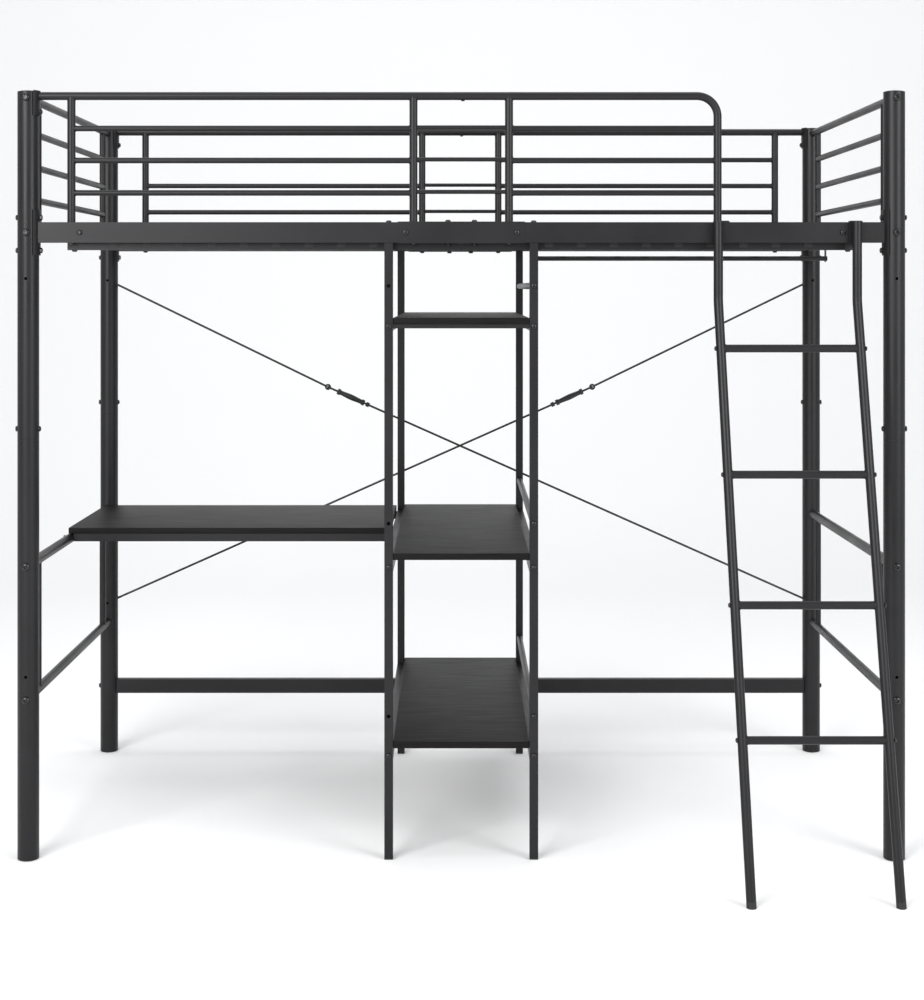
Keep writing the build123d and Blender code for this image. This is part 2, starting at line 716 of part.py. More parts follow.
with BuildPart() as uprights_lower:
    for face, side in corners:
        x, y = sign[side] * unit_half, unit_ys[face]
        box((x - half_w, y - half_w, foot_sole + gap), (x + half_w, y + half_w, unit_seam_z - seam / 2))
        box((x - inner_w / 2, y - inner_w / 2, 0), (x + inner_w / 2, y + inner_w / 2,
            unit_seam_z + 1), Mode.SUBTRACT)
        upright_holes(side, face, 0, unit_seam_z)
save(uprights_lower, "unit_uprights_lower")

with BuildPart() as uprights_upper:
    for face, side in corners:
        x, y, top = sign[side] * unit_half, unit_ys[face], unit_tops[face]
        box((x - half_w, y - half_w, unit_seam_z + seam / 2), (x + half_w, y + half_w, top))
        box((x - inner_w / 2, y - inner_w / 2, unit_seam_z), (x + inner_w / 2, y + inner_w / 2,
            top - insert_len), Mode.SUBTRACT)
        tube((x, y, top - insert_len - 1), (x, y, top + 1), hole_r, mode=Mode.SUBTRACT)
        upright_holes(side, face, unit_seam_z, top)
save(uprights_upper, "unit_uprights_upper")

with BuildPart() as unit_sleeves:
    w = inner_w - sleeve_clear * 2
    for face in ("front", "rear"):
        for s in (-1, 1):
            x, y = s * unit_half, unit_ys[face]
            low, high = unit_seam_z - 45, unit_seam_z + 42
            box((x - w / 2, y - w / 2, low), (x + w / 2, y + w / 2, high))
            box((x - w / 2 + 1.5, y - w / 2 + 1.5, low - 1), (x + w / 2 - 1.5, y + w / 2 - 1.5, high + 1),
                Mode.SUBTRACT)
save(unit_sleeves, "unit_sleeves")

with BuildPart() as unit_feet:
    w = inner_w / 2 - sleeve_clear
    for face in ("front", "rear"):
        for s in (-1, 1):
            x, y = s * unit_half, unit_ys[face]
            box((x - half_w, y - half_w, 0), (x + half_w, y + half_w, foot_sole))
            box((x - w, y - w, foot_sole), (x + w, y + w, 18))
save(unit_feet, "unit_feet")

span = (unit_ys["front"] + half_w + gap, unit_ys["rear"] - half_w - gap)
for side in ("left", "right"):
    s = sign[side]
    x = s * unit_half
    with BuildPart() as supports:
        for level, z in enumerate(support_zs):
            height = top_support_h if level == 2 else support_h
            deep_box(span[0], span[1], x, z, upright_w, height, upright_wall)
            for y0, y1 in ((span[0], span[0] + insert_len), (span[1] - insert_len, span[1])):
                box((x - half_w + 1, y0, z - height / 2 + 1), (x + half_w - 1, y1, z + height / 2 - 1))
            for y0, y1 in ((span[0] - 1, span[0] + insert_len + 1),
                           (span[1] - insert_len - 1, span[1] + 1)):
                tube((x, y0, z), (x, y1, z), hole_r, mode=Mode.SUBTRACT)
            outer = unit_half - half_w if level == 2 else unit_half + half_w
            ends = sorted((s * outer, s * (unit_half - half_w - ledge_reach)))
            top = shelf_unders[level] - gap
            box((ends[0], span[0], top - ledge_t), (ends[1], span[1], top))
        if side == "left":
            for y in desk_rail_ys:
                tube((x - 20, y, desk_bolt_z), (x + 20, y, desk_bolt_z), hole_r, mode=Mode.SUBTRACT)
    save(supports, f"shelf_supports_{side}")

with BuildPart() as side_bars:
    for z in bar_zs:
        tube((unit_half, span[0], z), (unit_half, span[1], z), side_bar_r, side_bar_r - tube_wall)
        for y0, y1 in ((span[0], span[0] + insert_len), (span[1] - insert_len, span[1])):
            tube((unit_half, y0, z), (unit_half, y1, z), side_bar_r - tube_wall)
        for y0, y1 in ((span[0] - 1, span[0] + insert_len + 1), (span[1] - insert_len - 1, span[1] + 1)):
            tube((unit_half, y0, z), (unit_half, y1, z), hole_r, mode=Mode.SUBTRACT)
    for y0, y1 in ((shelf_front + 1, 9.5), (unit_back - half_w, unit_back)):
        half = unit_half - half_w - gap
        box((-half, spot(y0), shelf_unders[2] - gap - cross_rail_h),
            (half, spot(y1), shelf_unders[2] - gap))
save(side_bars, "unit_side_bars")

for name, under in zip(("lower", "middle", "top"), shelf_unders):
    with BuildPart() as shelf:
        box((-shelf_half, spot(shelf_front), under), (shelf_half, spot(shelf_back), under + shelf_t))
        chamfer(shelf.edges().group_by(Axis.Z)[-1], 0.8)
    save(shelf, f"shelf_{name}")

# ---- desk
desk_right = -(unit_half + half_w + 2)
desk_under = desk_top_z - desk_t
with BuildPart() as desk_top:
    box((desk_left, spot(desk_front), desk_under), (desk_right, spot(desk_front + desk_depth),
        desk_top_z))
    chamfer(desk_top.edges().group_by(Axis.Z)[-1], 0.8)
save(desk_top, "desk_top")

desk_rail_z = desk_under - gap - desk_rail_w / 2
desk_ends = (-post_x + side_rail_r + gap, -(unit_half + half_w) - gap)
with BuildPart() as desk_rails:
    for y in desk_rail_ys:
        long_box(desk_ends[0], desk_ends[1], y, desk_rail_z, desk_rail_w, desk_rail_w, upright_wall)
    for y in desk_rail_ys:
        half = desk_rail_w / 2 - 1
        for x0, x1 in ((desk_ends[0], desk_ends[0] + insert_len), (desk_ends[1] - insert_len,
                                                                   desk_ends[1])):
            box((x0, y - half, desk_rail_z - half), (x1, y + half, desk_rail_z + half))
            tube((x0 - 1, y, desk_bolt_z), (x1 + 1, y, desk_bolt_z), hole_r, mode=Mode.SUBTRACT)
save(desk_rails, "desk_rails")

# ---- ladder, hooked over the front rail
foot = {side: Vector(x + ladder_drift, spot(-foot_reach), foot_z)
        for side, x in (("left", ladder_left), ("right", ladder_right))}
knee = {side: Vector(x, spot(stile_depth), stile_bend_z)
        for side, x in (("left", ladder_left), ("right", ladder_right))}
slope = (knee["left"] - foot["left"]).normalized()
outward = Vector(-slope.X, -slope.Y, 0).normalized()
bend_r = 80.0
half_turn = sqrt((1 - slope.Z) / (1 + slope.Z))    # tangent of half the bend angle
bend_len = bend_r * half_turn
bend_angle = degrees(2 * atan(half_turn))


def on_slope(side, z):
    """Point on a slanted stile's axis at a height."""
    return foot[side] + slope * ((z - foot_z) / slope.Z)


rung_bolt_r = 3.0
rung_hole_r = rung_bolt_r + bolt_clear


def rung_holes(side, zs):
    """Cross holes through a stile for the rung bolts."""
    for z in zs:
        p = on_slope(side, z)
        tube((p.X - 20, p.Y, z), (p.X + 20, p.Y, z), rung_hole_r, mode=Mode.SUBTRACT)


with BuildPart() as stiles_upper:
    for side in ("left", "right"):
        k = knee[side]
        tube((k.X, k.Y, k.Z + bend_len + 0.1), (k.X, k.Y, stile_top_z), stile_r, stile_r - stile_wall)
        pivot = k + Vector(0, 0, bend_len) + outward * bend_r
        with BuildSketch(Plane(origin=(k.X, k.Y, k.Z + bend_len), z_dir=(0, 0, -1))) as ring:
            Circle(stile_r)
            Circle(stile_r - stile_wall, mode=Mode.SUBTRACT)
        revolve(ring.sketch, axis=Axis(pivot, (outward.Y, -outward.X, 0)), revolution_arc=bend_angle)
        tube((k - slope * (bend_len + 0.1)),
             (on_slope(side, stile_seam_z) + slope * seam / 2),
             stile_r, stile_r - stile_wall)
        rung_holes(side, rung_zs[2:])
save(stiles_upper, "ladder_stiles_upper")

with BuildPart() as stiles_lower:
    for side in ("left", "right"):
        tube(foot[side] + slope * 6.3,
             (on_slope(side, stile_seam_z) - slope * seam / 2),
             stile_r, stile_r - stile_wall)
        rung_holes(side, rung_zs[:2])
save(stiles_lower, "ladder_stiles_lower")

with BuildPart() as stile_sleeves:
    outer = stile_r - stile_wall - sleeve_clear
    for side in ("left", "right"):
        middle = on_slope(side, stile_seam_z)
        tube((middle - slope * 50), (middle + slope * 50), outer, outer - 1.5)
        rung_holes(side, rung_zs[2:3])
save(stile_sleeves, "ladder_sleeves")

with BuildPart() as rungs:
    for z in rung_zs:
        left, right = on_slope("left", z), on_slope("right", z)
        tube(left, right, rung_r, rung_r - tube_wall)
        for end, s in ((left, 1), (right, -1)):
            tube(end, end + Vector(s * (stile_r + insert_len), 0, 0), rung_r - tube_wall)
        for end, s in ((left, 1), (right, -1)):
            tube(end, end + Vector(s * (stile_r + insert_len + 1), 0, 0), rung_hole_r,
                 mode=Mode.SUBTRACT)
    for side in ("left", "right"):
        tube(foot[side], knee[side], stile_r + gap, mode=Mode.SUBTRACT)
save(rungs, "ladder_rungs")

hook_top = rail_top + gap + hook_t
with BuildPart() as hooks:
    for side in ("left", "right"):
        low, high = hook_plates[side]
        middle = ((low + high) / 2, spot(hook_face), hook_top - hook_plate_h / 2)
        with BuildSketch(Plane(origin=middle, x_dir=(1, 0, 0), z_dir=(0, -1, 0))) as face:
            RectangleRounded(high - low, hook_plate_h, 5)
        extrude(face.sketch, amount=hook_t)
        low, high = hook_straps[side]
        box((low, spot(hook_face + 0.05), hook_top - hook_t), (high, spot(-hook_face - 0.05), hook_top))
        box((low, spot(-hook_face), hook_top - hook_leg), (high, spot(-hook_face + hook_t), hook_top))
save(hooks, "ladder_hooks")

with BuildPart() as ladder_feet:
    for side in ("left", "right"):
        tube(foot[side] - slope * 20, foot[side] + slope * 6, stile_r)
        tube(foot[side] + slope * 5, foot[side] + slope * 34, stile_r - stile_wall - sleeve_clear)
    box((500, spot(-450), -60), (1100, spot(-200), 0), Mode.SUBTRACT)
save(ladder_feet, "ladder_feet")

with BuildPart() as stile_caps:
    for side in ("left", "right"):
        k = knee[side]
        tube((k.X, k.Y, stile_top_z + 0.1), (k.X, k.Y, stile_top_z + 2.6), stile_r)
        tube((k.X, k.Y, stile_top_z - 12), (k.X, k.Y, stile_top_z + 1), stile_r - stile_wall - sleeve_clear)
save(stile_caps, "ladder_stile_caps")

# ---- clothes rail under the bed
hang_y = spot(hang_depth)
strap_x = post_x - end_rail_r - gap - strap_t
with BuildPart() as clothes_rail:
    tube((hang_left, hang_y, hang_z), (hang_right + 8, hang_y, hang_z), hang_r, hang_r - 1)
save(clothes_rail, "clothes_rail")

with BuildPart() as hangers:
    for x, z, r, flat in ((slat_xs[0], slat_z, slat_r, slat_xs[0] - strap_t / 2),
                          (post_x, bed_height, end_rail_r, strap_x)):
        tube((x, hang_y - strap_w / 2, z), (x, hang_y + strap_w / 2, z), r + gap + strap_t, r + gap)
        low = hang_z - hang_r - 3
        high = z - r - gap - strap_t / 2 if x == slat_xs[0] else z
        box((flat, hang_y - strap_w / 2, low), (flat + strap_t, hang_y + strap_w / 2, high))
    tube((hang_left - 5, hang_y, hang_z), (hang_right + 20, hang_y, hang_z), hang_r + gap,
         mode=Mode.SUBTRACT)
save(hangers, "clothes_rail_hangers")

# ---- fasteners
lift = 0.1                                        # washer gap under a head
with BuildPart() as post_bolts:
    for face, side in corners:
        x, y, d = sign[side] * post_x, post_at[face], sign[face]
        for z in post_bolt_zs:
            bolt((x, y - d * (post_r + lift), z), (x, y + d * (post_r + gap + 21), z), head_r, head_h)
save(post_bolts, "post_bolts")

with BuildPart() as side_bolts:
    for face, side in corners:
        s, y = sign[side], post_at[face]
        for z in rail_bolt_zs:
            bolt((s * (post_x + post_r + lift), y, z), (s * (post_x - saddle_r - nut_h - 1), y, z),
                 small_head_r, small_head_h)
            nut((s * (post_x - saddle_r - lift), y, z), (-s, 0, 0))
        bolt((s * (post_x - post_r - lift), y, join_bolt_z),
             (s * (post_x + post_r + nut_h + 0.6), y, join_bolt_z), small_head_r, small_head_h)
        nut((s * (post_x + post_r + lift), y, join_bolt_z), (s, 0, 0))
        if face == "rear":
            bolt((s * (post_x + post_r + lift), y, stretcher_z),
                 (s * (post_x - post_r - gap - 21), y, stretcher_z), small_head_r, small_head_h)
save(side_bolts, "side_bolts")

with BuildPart() as rail_bolts:
    for face in ("front", "rear"):
        y, d = post_at[face], sign[face]
        for s in (-1, 1):
            for x, skin in ((panel_end_x, 0), (panel_in_x, joiner_out)):
                bolt((s * x, y - d * (rail_d / 2 + skin + lift), bed_height),
                     (s * x, y + d * (rail_d / 2 + joiner_out + 1.1 + 22), bed_height),
                     small_head_r, small_head_h)
            top = rail_top + joiner_out
            bolt((s * 31.0, y, top + lift), (s * 31.0, y, rail_bottom - joiner_out - nut_h - 0.5),
                 small_head_r, small_head_h)
            nut((s * 31.0, y, rail_bottom - joiner_out - lift), (0, 0, -1))
            x = s * (bearer_end_x - 15)
            if face == "front":
                yb = spot(panel_front + bearer_w / 2)
                bolt((x, yb, bearer_bottom - lift), (x, yb, bearer_bottom + 14), small_head_r, 4.0)
save(rail_bolts, "rail_bolts")

with BuildPart() as guard_bolts:
    for face, side in corners:
        s, y = sign[side], post_at[face]
        for x in rail_uprights[(face, side)]:
            if x in (unit_half, 31.0):
                continue
            skin = joiner_out if x < joiner_half else 0
            bolt((s * x, y, rail_bottom - skin - lift), (s * x, y, guard_foot(face, x) + 20),
                 small_head_r, 4.0)
        if (face, side) in bracketed:
            bolt((s * (post_x - saddle_r - lift), y, bracket_bolt_z),
                 (s * (post_x - 14), y, bracket_bolt_z), small_head_r, small_head_h)
    for face in ("front", "rear"):
        y = post_at[face]
        bolt((4.0, y, guard_top_z - guard_r - lift), (4.0, y, guard_top_z - guard_r + 4.5), 4.5, 2.5, 2.5)
save(guard_bolts, "guard_bolts")

with BuildPart() as unit_bolts:
    for face in ("front", "rear"):
        y, d = unit_ys[face], sign[face]
        for side in ("left", "right"):
            x = sign[side] * unit_half
            for z in support_zs + (bar_zs if side == "right" else []):
                bolt((x, y - d * (half_w + lift), z), (x, y + d * (half_w + gap + 21), z),
                     small_head_r, small_head_h)
            top = rail_top if face == "front" else bearer_top
            bolt((x, y, top + lift), (x, y, unit_tops[face] - 21), small_head_r, small_head_h)
save(unit_bolts, "unit_bolts")

with BuildPart() as desk_bolts:
    for y in desk_rail_ys:
        bolt((-post_x - side_rail_r - lift, y, desk_bolt_z), (desk_ends[0] + 21, y, desk_bolt_z), 6.0, 4.0)
        bolt((-unit_half + half_w + lift, y, desk_bolt_z), (desk_ends[1] - 21, y, desk_bolt_z), 6.0, 4.0)
save(desk_bolts, "desk_bolts")

with BuildPart() as ladder_bolts:
    for z in rung_zs:
        for side, s in (("left", 1), ("right", -1)):
            p = on_slope(side, z)
            bolt((p.X - s * (stile_r + lift), p.Y, z), (p.X + s * (stile_r + 21), p.Y, z), 5.5, 4.0,
                 rung_bolt_r)
save(ladder_bolts, "ladder_bolts")
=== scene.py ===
"""High sleeper bed with desk, shelf unit and ladder: finishes, shaped details, floor, light and camera."""
import json
import math

import bpy
import numpy as np
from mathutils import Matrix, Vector


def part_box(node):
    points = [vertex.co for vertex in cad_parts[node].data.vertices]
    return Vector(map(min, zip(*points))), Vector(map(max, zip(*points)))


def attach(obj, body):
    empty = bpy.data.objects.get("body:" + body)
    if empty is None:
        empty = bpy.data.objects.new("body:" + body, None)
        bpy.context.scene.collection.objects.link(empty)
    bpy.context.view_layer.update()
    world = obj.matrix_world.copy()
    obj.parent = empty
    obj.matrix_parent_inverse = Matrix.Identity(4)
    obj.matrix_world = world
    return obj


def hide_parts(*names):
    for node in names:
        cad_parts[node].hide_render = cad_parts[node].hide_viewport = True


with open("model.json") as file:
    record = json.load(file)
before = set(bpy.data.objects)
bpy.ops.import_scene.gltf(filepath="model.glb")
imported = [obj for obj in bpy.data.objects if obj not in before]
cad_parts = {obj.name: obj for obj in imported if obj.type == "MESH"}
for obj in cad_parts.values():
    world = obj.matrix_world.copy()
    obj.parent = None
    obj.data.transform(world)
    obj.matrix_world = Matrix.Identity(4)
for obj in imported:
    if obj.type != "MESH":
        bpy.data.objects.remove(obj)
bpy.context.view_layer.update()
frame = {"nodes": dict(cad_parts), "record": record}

MM = 0.001
X, Y, Z = (1, 0, 0), (0, 1, 0), (0, 0, 1)

# posts and end frames, in metres
FRONT_Y, REAR_Y, POST_X = -0.31375, 0.61125, 1.015
POSTS = [(s * POST_X, y) for y in (FRONT_Y, REAR_Y) for s in (-1, 1)]
END_YS = (FRONT_Y + 0.092, REAR_Y - 0.092)
END_UPRIGHT_R, END_BAR_R, END_TOP_R, LOW_RAIL_R, SIDE_RAIL_R = 8.5 * MM, 8 * MM, 9.5 * MM, 11 * MM, 12 * MM
END_BAR_ZS = (1.703, 1.624, 1.546)
END_TOP_Z, BED_Z, SIDE_RAIL_Z, LOW_RAIL_Z = 1.782, 1.467, 0.687, 0.376

# guards: upright places along each side, and how much lower its bars sit
GUARD_R, GUARD_BAR_R, GUARD_TOP_Z = 9.5 * MM, 6.75 * MM, 1.787
GUARD_BAR_ZS = (1.711, 1.636, 1.560)
BENT_END_X = 0.601
GUARDS = ((FRONT_Y, 0.914, 0.112, BENT_END_X, 0), (REAR_Y, 0.910, 0.110, 0.910, 0.004))

# ladder: stile places at the bend, how far along the feet stand, and the rungs
STILE_R, RUNG_R = 11 * MM, 9.2 * MM
STILE_XS, FOOT_DRIFT = (0.5985, 0.922), 0.0265
RUNG_ZS = (0.341, 0.6265, 0.912, 1.197)

# cross brace: eyes, far ends and turnbuckle bodies
EYE_X, EYE_Z, BRACE_FOOT_X, BRACE_FOOT_Z = 0.382, 1.051, 1.007, 0.433
BRACE_SPREAD, EYE_TO_BODY = 4.2 * MM, (6.2 + 24) * MM
BODY_LEN, BODY_BORE, COLLAR_R, COLLAR_EDGE_R = 85 * MM, 3.08 * MM, 8.4 * MM, 7.4 * MM


# ---- colour and materials


def srgb(code):
    """Linear colour of a hex sRGB code."""
    c = np.array([int(code[i:i + 2], 16) for i in (1, 3, 5)]) / 255
    lin = np.where(c <= 0.04045, c / 12.92, ((c + 0.055) / 1.055) ** 2.4)
    return (*map(float, lin), 1.0)


def add(tree, kind, values=(), links=(), **props):
    """Adds a shader node with its properties, socket values and incoming links."""
    node = tree.nodes.new(kind)
    for key, value in props.items():
        setattr(node, key, value)
    for key, value in dict(values).items():
        node.inputs[key].default_value = value
    for key, socket in dict(links).items():
        tree.links.new(socket, node.inputs[key])
    return node


def finish(name, base, rough, coat=0.0, coat_rough=0.1, specular=0.5):
    """A new material with a plain Principled shader; returns it with its tree and shader."""
    mat = bpy.data.materials.new(name)
    mat.use_nodes = True
    tree = mat.node_tree
    shader = tree.nodes["Principled BSDF"]
    shader.inputs["Base Color"].default_value = srgb(base)
    shader.inputs["Roughness"].default_value = rough
    shader.inputs["Specular IOR Level"].default_value = specular
    shader.inputs["Coat Weight"].default_value = coat
    shader.inputs["Coat Roughness"].default_value = coat_rough
    return mat, tree, shader


def coords(tree, scale):
    """Object coordinates scaled per metre along each axis."""
    spot = add(tree, "ShaderNodeTexCoord")
    return add(tree, "ShaderNodeMapping", {"Scale": scale},
               {"Vector": spot.outputs["Object"]}).outputs["Vector"]


def bump(tree, shader, height, strength, distance):
    """Feeds a height into the shader's normal."""
    node = add(tree, "ShaderNodeBump", {"Strength": strength, "Distance": distance},
               {"Height": height})
    tree.links.new(node.outputs["Normal"], shader.inputs["Normal"])


def ramp(tree, value, low, high, c0, c1):
    """Two-colour ramp between two positions of a value."""
    node = add(tree, "ShaderNodeValToRGB", links={"Fac": value})
    node.color_ramp.elements[0].position, node.color_ramp.elements[1].position = low, high
    node.color_ramp.elements[0].color, node.color_ramp.elements[1].color = c0, c1
    return node.outputs["Color"]


def powder_coat(name, base, rough):
    """Baked powder coat: a fine 0.8 mm orange peel and a faint drift in tone and gloss."""
    mat, tree, shader = finish(name, base, rough, coat=0.06, coat_rough=0.25, specular=0.26)
    peel = add(tree, "ShaderNodeTexNoise", {"Scale": 1.0, "Detail": 2.0, "Roughness": 0.45},
               {"Vector": coords(tree, (900, 900, 900))})
    drift = add(tree, "ShaderNodeTexNoise", {"Scale": 1.0, "Detail": 3.0},
                {"Vector": coords(tree, (7, 7, 7))})
    base_lin = np.array(srgb(base)[:3])
    colour = ramp(tree, drift.outputs["Fac"], 0.3, 0.7, (*map(float, base_lin * 0.88), 1),
                  (*map(float, base_lin * 1.14), 1))
    tree.links.new(colour, shader.inputs["Base Color"])
    gloss = add(tree, "ShaderNodeMapRange",
                {"From Min": 0.3, "From Max": 0.7, "To Min": rough - 0.04, "To Max": rough + 0.05},
                {"Value": drift.outputs["Fac"]})
    tree.links.new(gloss.outputs["Result"], shader.inputs["Roughness"])
    bump(tree, shader, peel.outputs["Fac"], 0.12, 0.0002)
    return mat


def board_finish():
    """Dark foil board with a printed and embossed grain that runs along the bed."""
    mat, tree, shader = finish("black_woodgrain_foil", "#0d0c0c", 0.55, specular=0.12)
    broad = add(tree, "ShaderNodeTexNoise", {"Scale": 1.0, "Detail": 4.0, "Distortion": 0.6},
                {"Vector": coords(tree, (2.2, 38, 38))})
    fine = add(tree, "ShaderNodeTexNoise", {"Scale": 1.0, "Detail": 5.0, "Roughness": 0.62},
               {"Vector": coords(tree, (9, 420, 420))})
    pores = add(tree, "ShaderNodeTexNoise", {"Scale": 1.0, "Detail": 2.0},
                {"Vector": coords(tree, (38, 1500, 1500))})
    mixed = add(tree, "ShaderNodeMath", links={0: broad.outputs["Fac"], 1: fine.outputs["Fac"]},
                operation="MULTIPLY_ADD")
    tree.links.new(fine.outputs["Fac"], mixed.inputs[2])
    colour = ramp(tree, mixed.outputs["Value"], 0.42, 1.0, srgb("#050505"), srgb("#161414"))
    tree.links.new(colour, shader.inputs["Base Color"])
    gloss = add(tree, "ShaderNodeMapRange",
                {"From Min": 0.3, "From Max": 0.7, "To Min": 0.38, "To Max": 0.6},
                {"Value": fine.outputs["Fac"]})
    tree.links.new(gloss.outputs["Result"], shader.inputs["Roughness"])
    height = add(tree, "ShaderNodeMath", links={0: fine.outputs["Fac"], 1: pores.outputs["Fac"]},
                 operation="MULTIPLY")
    bump(tree, shader, height.outputs["Value"], 0.35, 0.0005)
    return mat


def grained(name, base, rough, size, depth, strength=0.3):
    """Moulded or blackened surface with a fine grain of a real size in metres."""
    mat, tree, shader = finish(name, base, rough)
    grain = add(tree, "ShaderNodeTexNoise", {"Scale": 1.0, "Detail": 3.0},
                {"Vector": coords(tree, (1 / size,) * 3)})
    bump(tree, shader, grain.outputs["Fac"], strength, depth)
    return mat


MATERIALS = {
    "powder_coat": powder_coat("anthracite_powder_coat", "#161517", 0.4),
    "dark_board": board_finish(),
    "black_plastic": grained("moulded_black_polypropylene", "#0e0e10", 0.55, 0.0007, 0.0002),
    "black_bolts": grained("black_oxide_bolts", "#040405", 0.26, 0.0012, 0.0001, 0.12),
    "brace_steel": grained("black_passivated_rod", "#0c0c0d", 0.4, 0.0016, 0.0001, 0.2),
}

slots = {s["node"]: s["material_slot"] for s in frame["record"]["subparts"]}
for node, obj in frame["nodes"].items():
    obj.data.materials.clear()
    obj.data.materials.append(MATERIALS[slots[node]])


# ---- shaped pieces


def surface(name, points, faces, slot_name, body, replaced=()):
    """A new mesh piece from point and face arrays, with its finish, riding on a body."""
    mesh = bpy.data.meshes.new(name)
    mesh.from_pydata([tuple(map(float, p)) for p in points], [], [tuple(map(int, f)) for f in faces])
    mesh.update()
    mesh.polygons.foreach_set("use_smooth", [True] * len(mesh.polygons))
    mesh.set_sharp_from_angle(angle=math.radians(38))
    piece = bpy.data.objects.new(name, mesh)
    bpy.context.scene.collection.objects.link(piece)
    mesh.materials.append(MATERIALS[slot_name])
    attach(piece, body)
    if replaced:
        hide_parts(*replaced)
    return piece


def grid_faces(rows, cols, start=0, close=True):
    """Quads of a rows by cols grid of points, closed round the columns when asked."""
    faces = []
    for i in range(rows - 1):
        for j in range(cols if close else cols - 1):
            k = (j + 1) % cols
            faces.append((start + i * cols + j, start + i * cols + k,
                          start + (i + 1) * cols + k, start + (i + 1) * cols + j))
    return faces


def lathe(profile, centre, axis=(0, 0, 1), turns=48, lobes=0, depth=0.0, lobe_span=(0, 0)):
    """Surface of two parameters: profile (radius, height) turned about an axis. Where the height lies
    in the lobe span the radius is multiplied by 1 + depth times the cosine of lobes times the angle."""
    w = np.array(axis, float)
    w /= np.linalg.norm(w)
    u = np.cross(w, (0, 1, 0) if abs(w[1]) < 0.9 else (1, 0, 0))
    u /= np.linalg.norm(u)
    v = np.cross(w, u)
    angle = np.linspace(0, 2 * np.pi, turns, endpoint=False)
    prof = np.array(profile, float)
    r, h = prof[:, 0][:, None], prof[:, 1][:, None]
    inside = (h >= lobe_span[0]) & (h <= lobe_span[1]) if lobes else np.zeros_like(h, bool)
    wave = np.where(inside, 1 + depth * np.cos(lobes * angle)[None, :], 1.0)
    r = r * wave
    pts = (np.array(centre, float) + r[..., None] * (np.cos(angle)[None, :, None] * u
           + np.sin(angle)[None, :, None] * v) + h[..., None] * w)
    return pts.reshape(-1, 3), grid_faces(len(prof), turns)


def join(parts):
    """Several (points, faces) pairs as one."""
    points, faces, start = [], [], 0
    for pts, fcs in parts:
        points.append(pts)
        faces += [tuple(start + i for i in f) for f in fcs]
        start += len(pts)
    return np.concatenate(points), faces


def arc(cx, cz, r, a0, a1, n):
    """Profile points on an arc, angles in degrees."""
    t = np.radians(np.linspace(a0, a1, n))
    return [(cx + r * math.cos(a), cz + r * math.sin(a)) for a in t]


def slab(low, high, r, corner, steps=8):
    """Board of two parameters: a rounded rectangle walked round in plan, and a half circle of radius r
    walked from the lower face over the edge to the upper one. The faces close it."""
    x0, y0, z0 = low
    x1, y1, z1 = high
    plan = []
    for cx, cy, a in ((x1 - corner, y1 - corner, 0), (x0 + corner, y1 - corner, 90),
                      (x0 + corner, y0 + corner, 180), (x1 - corner, y0 + corner, 270)):
        for t in np.radians(np.linspace(a, a + 90, steps)):
            plan.append((cx, cy, math.cos(t), math.sin(t)))
    plan = np.array(plan)
    rows = []
    for t in np.radians(np.linspace(-90, 0, 6)):
        rows.append((r * (1 - math.cos(t)), z0 + r + r * math.sin(t)))
    for t in np.radians(np.linspace(0, 90, 6)):
        rows.append((r * (1 - math.cos(t)), z1 - r + r * math.sin(t)))
    pts = []
    for inset, z in rows:
        xy = plan[:, :2] + plan[:, 2:] * (corner - inset)
        pts.append(np.column_stack([xy, np.full(len(xy), z)]))
    n = len(plan)
    faces = grid_faces(len(rows), n)
    faces.append(tuple(range(n))[::-1])
    faces.append(tuple(range((len(rows) - 1) * n, len(rows) * n)))
    return np.concatenate(pts), faces


def bead(centre, along, host_axis, bar_r, host_r, size=1.5 * MM, turns=40, ring=8):
    """Weld bead of two parameters: round the bar by angle a, the foot of the bead lies where the bar
    meets the host tube, at the root of host_r squared less (bar_r cos a) squared from the host's axis;
    round its section by angle b, with a ripple of 26 scallops."""
    u, h = np.array(along, float), np.array(host_axis, float)
    w = np.cross(u, h)
    a = np.linspace(0, 2 * np.pi, turns, endpoint=False)[:, None]
    b = np.linspace(0, 2 * np.pi, ring, endpoint=False)[None, :]
    out = np.sqrt(np.maximum(host_r ** 2 - (bar_r * np.cos(a)) ** 2, (host_r * 0.05) ** 2))
    s = size * (1 + 0.14 * np.cos(26 * a))
    radial = np.cos(a)[..., None] * w + np.sin(a)[..., None] * h
    pts = (np.array(centre, float) + (out + s * np.cos(b))[..., None] * u
           + (bar_r + s * 0.8 * np.sin(b))[..., None] * radial)
    pts = pts.reshape(-1, 3)
    faces = [(i * ring + j, i * ring + (j + 1) % ring, ((i + 1) % turns) * ring + (j + 1) % ring,
              ((i + 1) % turns) * ring + j) for i in range(turns) for j in range(ring)]
    return pts, faces


def neg(v):
    """The opposite direction."""
    return tuple(-c for c in v)


# boards with rounded edges
for node, edge in (("desk_top", 1.6), ("shelf_top", 1.4), ("shelf_middle", 1.4), ("shelf_lower", 1.4)):
    low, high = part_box(node)
    surface(node + "_board", *slab(low, high, edge * MM, 3 * MM), "dark_board", "bed", [node])

# post caps: a plug, a thin rim and a shallow dome, the profile turned about each post
dome = [(25 * MM * math.sin(t), 1.7956 + 4.2 * MM * math.cos(t)) for t in np.linspace(1.25, 0.02, 14)]
cap_profile = [(23.2 * MM, 1.7895), (23.2 * MM, 1.7961)] + arc(24.4 * MM, 1.7967, 0.6 * MM, -90, 0, 4) + dome
surface("post_cap_domes", *join([lathe(cap_profile, (x, y, 0)) for x, y in POSTS]), "black_plastic",
        "bed", ["post_caps"])

